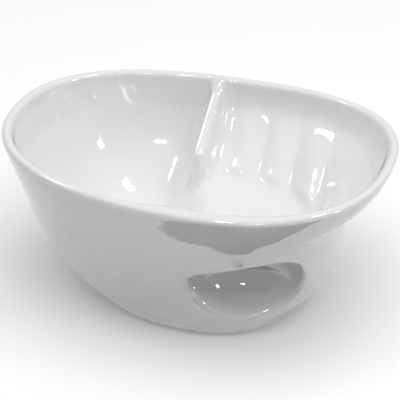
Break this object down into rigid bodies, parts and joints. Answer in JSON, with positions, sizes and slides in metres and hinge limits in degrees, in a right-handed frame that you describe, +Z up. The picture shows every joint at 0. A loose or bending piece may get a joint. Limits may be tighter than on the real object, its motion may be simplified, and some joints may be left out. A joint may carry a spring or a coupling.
{
  "type": "chip and dip server",
  "caption": "Oval porcelain bowl with a deep dip well, a raised chip shelf and a ramp between them, a short divider, and a thumb pocket and finger grooves for holding it in one hand.",
  "frame": {"origin": "middle of the footprint, on the table", "axes": "+X to the chip-shelf end, -Y to the side with the thumb pocket, +Z up"},
  "size_m": [0.2032, 0.1486, 0.0898],
  "materials": {
    "glazed_porcelain": "clear gloss glaze over white porcelain",
    "bare_porcelain": "unglazed, wiped and sanded smooth"
  },
  "bodies": {
    "root": {"outer_shell": "glazed_porcelain", "inner_dish": "glazed_porcelain", "divider_wall": "glazed_porcelain", "thumb_pocket": "glazed_porcelain", "foot_ring": "bare_porcelain"}
  },
  "joints": []
}
